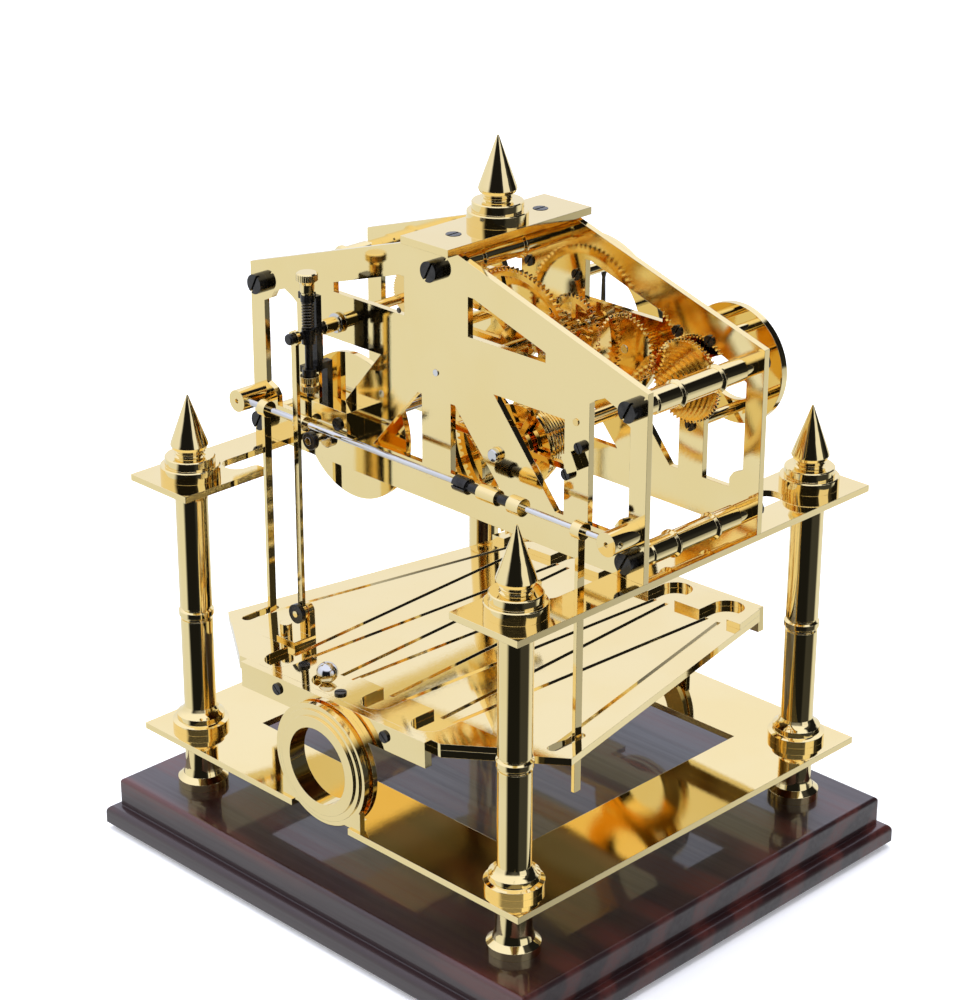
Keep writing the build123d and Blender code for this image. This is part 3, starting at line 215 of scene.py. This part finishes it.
# ---- wood and rubber ------------------------------------------------------------------
def lacquered_wood():
    """Very dark mahogany under a deep gloss lacquer."""
    made, tree, shader = new_material("dark_wood")
    warp = noise(tree, (1, 4, 4), 5.0, 3.0)
    across = node(tree, "SeparateXYZ", {"Vector": stretched(tree, (1, 1, 1))})
    rise = math_node(tree, "MULTIPLY", across.outputs["Z"], 0.8)
    depth = math_node(tree, "ADD", across.outputs["Y"], rise)
    wander = math_node(tree, "MULTIPLY", warp, 9.0)
    ring = math_node(tree, "ADD", math_node(tree, "MULTIPLY", depth, 150.0), wander)
    bands = spread(tree, math_node(tree, "SINE", ring), -1.0, 1.0, 0.0, 1.0)
    pores = noise(tree, (55, 2400, 2400), 1.0, 3.0, 0.7)
    streak = noise(tree, (7, 260, 260), 1.0, 4.0, 0.6)
    figure = math_node(tree, "MULTIPLY", bands, streak)
    colour = blend_colours(
        tree, spread(tree, figure, 0.05, 0.65, 0.0, 1.0), (0.020, 0.0042, 0.0036), (0.075, 0.0145, 0.0095)
    )
    colour = blend_colours(tree, spread(tree, pores, 0.62, 0.75, 0.0, 0.7), colour, (0.006, 0.002, 0.002))
    rounded = node(tree, "Bevel", {"Radius": 0.0012}, samples=4).outputs["Normal"]
    grain = bump(tree, pores, 0.10, 0.0001, rounded)
    lacquer = bump(tree, noise(tree, (1, 1, 1), 60.0, 2.0), 0.02, 0.0006, rounded)
    tree.links.new(colour, shader.inputs["Base Color"])
    tree.links.new(spread(tree, streak, 0.3, 0.7, 0.34, 0.5), shader.inputs["Roughness"])
    tree.links.new(grain, shader.inputs["Normal"])
    tree.links.new(lacquer, shader.inputs["Coat Normal"])
    shader.inputs["Coat Weight"].default_value = 0.78
    shader.inputs["Coat Roughness"].default_value = 0.05
    return made


def soft_rubber():
    """Matt rubber with a fine pebbled skin."""
    made, tree, shader = new_material("rubber_feet")
    skin = noise(tree, (1, 1, 1), 900.0, 3.0)
    colour = blend_colours(tree, skin, (0.012, 0.012, 0.013), (0.035, 0.034, 0.033))
    face = node(tree, "NewGeometry").outputs["Normal"]
    tree.links.new(colour, shader.inputs["Base Color"])
    tree.links.new(bump(tree, skin, 0.3, 0.0002, face), shader.inputs["Normal"])
    shader.inputs["Roughness"].default_value = 0.72
    return made


dark_wood = lacquered_wood()
rubber = soft_rubber()

finishes = {
    "polished_brass": flat_brass,
    "black_steel": black_steel,
    "bright_steel": bright_steel,
    "dark_spring": dark_spring,
    "dark_wood": dark_wood,
    "rubber_feet": rubber,
}
turned_upright = ("columns", "lower_pillars", "column_finials", "top_finial", "adjust_knob", "lock_nut")
turned_lying = (
    "plate_pillars",
    "bearing_rings",
    "rod_posts",
    "rod_collars",
    "dial_feet",
    "tray_collars",
    "minute_dial",
    "small_dials",
    "barrel",
    "fusee",
    "crank_disc",
)
wheels = (
    "great_wheel",
    "centre_wheel",
    "third_wheel",
    "seconds_wheel",
    "seconds_idler",
    "seconds_drive",
    "motion_idler",
    "motion_wheel",
    "hour_idler",
    "hour_wheel",
)


def smooth_shading():
    """A node group that smooths curved faces and keeps corners over 28 degrees crisp."""
    group = bpy.data.node_groups.new("smooth_curves", "GeometryNodeTree")
    group.interface.new_socket("Geometry", in_out="INPUT", socket_type="NodeSocketGeometry")
    group.interface.new_socket("Geometry", in_out="OUTPUT", socket_type="NodeSocketGeometry")
    make, link = group.nodes.new, group.links.new
    merge = make("GeometryNodeMergeByDistance")
    merge.inputs["Distance"].default_value = 1e-6
    strip = make("GeometryNodeRemoveAttribute")
    strip.inputs["Name"].default_value = "custom_normal"
    angle = make("GeometryNodeInputMeshEdgeAngle")
    gentle = make("FunctionNodeCompare")
    gentle.data_type = "FLOAT"
    gentle.operation = "LESS_THAN"
    gentle.inputs["B"].default_value = math.radians(28)
    edges = make("GeometryNodeSetShadeSmooth")
    edges.domain = "EDGE"
    faces = make("GeometryNodeSetShadeSmooth")
    faces.domain = "FACE"
    link(make("NodeGroupInput").outputs[0], merge.inputs["Geometry"])
    link(merge.outputs[0], strip.inputs["Geometry"])
    link(strip.outputs[0], edges.inputs["Geometry"])
    link(angle.outputs["Unsigned Angle"], gentle.inputs["A"])
    link(gentle.outputs[0], edges.inputs["Shade Smooth"])
    link(edges.outputs[0], faces.inputs["Geometry"])
    link(faces.outputs[0], make("NodeGroupOutput").inputs[0])
    return group


smooth_curves = smooth_shading()
slot_of = {part["node"]: part["material_slot"] for part in frame["record"]["subparts"]}
for name, piece in nodes.items():
    finish = finishes[slot_of[name]]
    if name in turned_upright:
        finish = turned_brass
    if name in turned_lying:
        finish = lathe_brass
    # wheels take the darker brass that carries painted shade
    if name in wheels:
        finish = wheel_brass_painted_shade
    piece.data.materials.clear()
    piece.data.materials.append(finish)
    piece.modifiers.new("smooth", "NODES").node_group = smooth_curves
    even = piece.modifiers.new("even_normals", "WEIGHTED_NORMAL")
    even.keep_sharp = True
    even.weight = 80


# ---- added pieces -------------------------------------------------------------------
def finished_piece(name, shape, finish, body):
    """A piece made from a bmesh, with its finish, riding on a body."""
    bmesh.ops.recalc_face_normals(shape, faces=shape.faces)
    mesh = bpy.data.meshes.new(name)
    shape.to_mesh(mesh)
    shape.free()
    mesh.materials.append(finish)
    piece = bpy.data.objects.new(name, mesh)
    bpy.context.scene.collection.objects.link(piece)
    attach(piece, body)
    return piece


def turned_piece(name, middle, steps, finish, body, turns=72):
    """A lathe-turned piece about an axis along y: steps are (radius, distance along y)."""
    shape = bmesh.new()
    rings = []
    for radius, along in steps:
        ring = []
        for step in range(turns):
            angle = 2 * math.pi * step / turns
            spot = (
                middle[0] + radius * math.cos(angle),
                along,
                middle[1] + radius * math.sin(angle),
            )
            ring.append(shape.verts.new(spot))
        rings.append(ring)
    for first, second in zip(rings, rings[1:]):
        for step in range(turns):
            after = (step + 1) % turns
            shape.faces.new((first[step], first[after], second[after], second[step]))
    shape.faces.new(rings[0])
    shape.faces.new(list(reversed(rings[-1])))
    piece = finished_piece(name, shape, finish, body)
    piece.modifiers.new("smooth", "NODES").node_group = smooth_curves


plate_face_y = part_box("back_plate")[1].y
great_low, great_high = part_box("great_wheel")
great_middle = ((great_low.x + great_high.x) / 2, (great_low.z + great_high.z) / 2)
pivot_steps = [
    (0.0036, plate_face_y + 0.0003),
    (0.0039, plate_face_y + 0.0006),
    (0.0039, plate_face_y + 0.0030),
    (0.0033, plate_face_y + 0.0036),
    (0.0010, plate_face_y + 0.0038),
]
turned_piece("great_pivot_cap", great_middle, pivot_steps, bright_steel, "great")
pin_steps = [
    (0.0017, plate_face_y + 0.0001),
    (0.0017, plate_face_y + 0.0005),
    (0.0012, plate_face_y + 0.0009),
]
pin_from_great = (0.0776, 0.0660)
pin_middle = (great_middle[0] + pin_from_great[0], great_middle[1] + pin_from_great[1])
turned_piece("steady_pin", pin_middle, pin_steps, dark_spring, "frame")

boss_x = 0.0816
boss_z = 0.3305
sleeve_steps = [
    (0.0041, 0.0531),
    (0.0044, 0.0534),
    (0.0044, 0.0628),
    (0.0041, 0.0631),
]
turned_piece(
    "lift_sleeve", (boss_x, boss_z), sleeve_steps, lathe_brass, "lift"
)
washer_steps = [
    (0.0056, 0.0518),
    (0.0060, 0.0520),
    (0.0060, 0.0530),
    (0.0056, 0.0532),
]
turned_piece(
    "lift_washer", (boss_x, boss_z), washer_steps, bright_steel, "lift"
)


# ---- dial markings ------------------------------------------------------------------
minute_dial_r = (0.037, 0.053)
small_dial_r = (0.0215, 0.0356)
dial_height = 0.3207
small_dial_x = 0.108
numerals = ("XII", "I", "II", "III", "IIII", "V", "VI", "VII", "VIII", "IX", "X", "XI")
letter_half_width = {"I": 0.0004, "V": 0.0010, "X": 0.0010}
letter_gap = 0.0004
letter_stroke = 0.00034
inlay_proud = 0.00006
inlay_depth = 0.00020


def clock_spot(middle, angle, out, along):
    """A spot on a dial: out from its middle at an angle from twelve, then along clockwise."""
    radial = Vector((math.sin(angle), math.cos(angle)))
    clockwise = Vector((math.cos(angle), -math.sin(angle)))
    return Vector(middle) + radial * out + clockwise * along


def minute_strokes(middle, radii, count, bold):
    """A ring of minute strokes, every bold one longer and wider."""
    strokes = []
    for step in range(count):
        angle = 2 * math.pi * step / count
        heavy = step % bold == 0
        outer = radii[1] - 0.0010
        inner = outer - (0.0046 if heavy else 0.0022)
        width = 0.0007 if heavy else 0.00028
        start = clock_spot(middle, angle, inner, 0)
        strokes.append((start, clock_spot(middle, angle, outer, 0), width))
    return strokes


def numeral_strokes(middle, radii):
    """Roman hours, their feet towards the middle of the dial."""
    strokes = []
    low = radii[0] + 0.0018
    high = radii[1] - 0.0048
    for hour, letters in enumerate(numerals):
        angle = 2 * math.pi * hour / 12
        spans = [2 * letter_half_width[letter] + letter_gap for letter in letters]
        along = -sum(spans) / 2
        for letter, span in zip(letters, spans):
            half = letter_half_width[letter]
            mid = along + span / 2
            foot_left, foot_right = {"I": (0, 0), "V": (0, 0), "X": (-half, half)}[letter]
            head_left, head_right = {"I": (0, 0), "V": (-half, half), "X": (half, -half)}[letter]
            pairs = [(foot_left, head_left)]
            if letter != "I":
                pairs.append((foot_right, head_right))
            for foot, head in pairs:
                start = clock_spot(middle, angle, low, mid + foot)
                end = clock_spot(middle, angle, high, mid + head)
                strokes.append((start, end, letter_stroke))
            along += span
    return strokes


def inlay(name, face_y, strokes):
    """Thin black strokes let into a dial's front face."""
    shape = bmesh.new()
    for start, end, width in strokes:
        way = (end - start).normalized()
        side = Vector((-way.y, way.x)) * (width / 2)
        corners = (start + side, start - side, end - side, end + side)
        near = [shape.verts.new((spot.x, face_y - inlay_proud, spot.y)) for spot in corners]
        far = [shape.verts.new((spot.x, face_y + inlay_depth, spot.y)) for spot in corners]
        shape.faces.new(near)
        shape.faces.new(list(reversed(far)))
        for step in range(4):
            after = (step + 1) % 4
            shape.faces.new((near[step], near[after], far[after], far[step]))
    finished_piece(name, shape, black_steel, "frame")


minute_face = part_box("minute_dial")[0].y
small_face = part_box("small_dials")[0].y
hour_middle = (-small_dial_x, dial_height)
seconds_middle = (small_dial_x, dial_height)
inlay("minute_marks", minute_face, minute_strokes((0, dial_height), minute_dial_r, 60, 5))
inlay("seconds_marks", small_face, minute_strokes(seconds_middle, small_dial_r, 60, 5))
hour_strokes = minute_strokes(hour_middle, small_dial_r, 48, 4)
inlay("hour_marks", small_face, hour_strokes + numeral_strokes(hour_middle, small_dial_r))


# ---- studio -------------------------------------------------------------------------
view_forward = Vector((0.65045, -0.65532, -0.38402)).normalized()
front = Vector((-view_forward.x, -view_forward.y, 0)).normalized()
left = Vector((front.y, -front.x, 0))


# Where flags and panel stand around the clock, in degrees: turn from the camera, then rise.
front_flag = ((-92.0, 54.0), (-64.0, 34.0))
side_flag_place = ((-130.0, -64.0), (-9.0, 62.0))
panel_place = ((-74.0, -34.0), (-12.0, 34.0))
grey_turn = (-90.0, -28.0)


def studio_world():
    """A white sweep, brighter overhead, with two dark flags and one bright panel in it."""
    world = bpy.data.worlds.new("studio")
    bpy.context.scene.world = world
    world.use_nodes = True
    tree = world.node_tree
    tree.nodes.clear()
    way = node(tree, "TexCoord").outputs["Generated"]
    ahead = node(tree, "VectorMath", {0: way, 1: front}, operation="DOT_PRODUCT").outputs["Value"]
    aside = node(tree, "VectorMath", {0: way, 1: left}, operation="DOT_PRODUCT").outputs["Value"]
    up = node(tree, "SeparateXYZ", {"Vector": way}).outputs["Z"]
    turn = math_node(tree, "MULTIPLY", math_node(tree, "ARCTAN2", aside, ahead), 180 / math.pi)
    rise = math_node(tree, "MULTIPLY", math_node(tree, "ARCSINE", up), 180 / math.pi)

    def window(low, high, soft, value):
        """One inside a range of degrees, falling to nothing over a soft edge."""
        opening = spread(tree, value, low - soft, low + soft, 0.0, 1.0)
        closing = spread(tree, value, high - soft, high + soft, 1.0, 0.0)
        return math_node(tree, "MULTIPLY", opening, closing)

    sweep = spread(tree, rise, -80.0, 10.0, 0.74, 0.95)
    sky = spread(tree, rise, 5.0, 45.0, 0.0, 0.20)
    level = math_node(tree, "ADD", sweep, sky)
    flag = math_node(
        tree, "MULTIPLY", window(*front_flag[0], 10.0, turn), window(*front_flag[1], 9.0, rise)
    )
    side_turn = window(*side_flag_place[0], 4.0, turn)
    side_flag = math_node(tree, "MULTIPLY", side_turn, window(*side_flag_place[1], 3.0, rise))
    dark = math_node(tree, "MAXIMUM", flag, side_flag)
    level = math_node(tree, "MULTIPLY", level, math_node(tree, "SUBTRACT", 1.0, dark))
    grey = math_node(tree, "MULTIPLY", window(*grey_turn, 8.0, turn), 0.04)
    level = math_node(tree, "ADD", level, math_node(tree, "ADD", grey, 0.012))
    panel = math_node(
        tree, "MULTIPLY", window(*panel_place[0], 2.0, turn), window(*panel_place[1], 3.0, rise)
    )
    level = math_node(tree, "ADD", level, math_node(tree, "MULTIPLY", panel, 0.95))
    seen = node(tree, "LightPath").outputs["Is Camera Ray"]
    plain = node(tree, "Background", {"Color": (1, 1, 1, 1), "Strength": 1.0})
    tint = blend_colours(
        tree, spread(tree, rise, -10.0, 25.0, 0.0, 1.0), (0.92, 0.96, 1.02), (0.92, 0.96, 1.14)
    )
    lit = node(tree, "Background", {"Color": tint, "Strength": level})
    both = node(
        tree, "MixShader", {0: seen, 1: lit.outputs["Background"], 2: plain.outputs["Background"]}
    )
    node(tree, "OutputWorld", {"Surface": both.outputs["Shader"]})


def floor():
    """A plain pale floor, slightly uneven in tone."""
    made, tree, shader = new_material("pale_floor")
    speck = noise(tree, (1, 1, 1), 3.0, 4.0)
    tree.links.new(
        blend_colours(tree, speck, (0.90, 0.90, 0.90), (0.93, 0.93, 0.93)), shader.inputs["Base Color"]
    )
    shader.inputs["Roughness"].default_value = 0.85
    shader.inputs["Specular IOR Level"].default_value = 0.1
    shader.inputs["Emission Color"].default_value = (1, 1, 1, 1)
    shader.inputs["Emission Strength"].default_value = 0.22
    sheet = bmesh.new()
    bmesh.ops.create_grid(sheet, x_segments=12, y_segments=12, size=14.0)
    mesh = bpy.data.meshes.new("floor")
    sheet.to_mesh(mesh)
    sheet.free()
    mesh.materials.append(made)
    ground = bpy.data.objects.new("floor", mesh)
    ground.visible_glossy = False
    bpy.context.scene.collection.objects.link(ground)


def soft_light(name, place, target, size, power):
    """A soft panel that lights the scene but is not mirrored in the metal."""
    lamp = bpy.data.lights.new(name, "AREA")
    lamp.shape = "RECTANGLE"
    lamp.size = size
    lamp.size_y = size
    lamp.energy = power
    holder = bpy.data.objects.new(name, lamp)
    holder.location = place
    holder.rotation_euler = (Vector(target) - Vector(place)).to_track_quat("-Z", "Y").to_euler()
    holder.visible_glossy = False
    bpy.context.scene.collection.objects.link(holder)


studio_world()
floor()
soft_light("overhead_panel", (0.3, -0.3, 2.6), (0, 0, 0.1), 2.4, 60)
soft_light("side_panel", (1.8, 1.6, 1.4), (0, 0, 0.2), 1.6, 22)


# ---- camera -------------------------------------------------------------------------
def camera():
    """A long lens that looks down on the back of the clock from one corner."""
    lens = bpy.data.cameras.new("camera")
    lens.sensor_fit = "HORIZONTAL"
    lens.sensor_width = 36.0
    lens.lens = 98.96
    lens.shift_x = 0.0071
    lens.shift_y = -0.0215
    lens.clip_start = 0.05
    lens.clip_end = 60.0
    holder = bpy.data.objects.new("camera", lens)
    right = view_forward.cross(Vector((0.0014, 0.0014, 1))).normalized()
    above = right.cross(view_forward)
    turn = Matrix((right, above, -view_forward)).transposed().to_4x4()
    holder.matrix_world = Matrix.Translation((-1.0220, 1.0429, 0.8482)) @ turn
    bpy.context.scene.collection.objects.link(holder)
    bpy.context.scene.camera = holder


camera()
scene = bpy.context.scene
scene.view_settings.view_transform = "Standard"
scene.cycles.max_bounces = 14
scene.cycles.glossy_bounces = 10
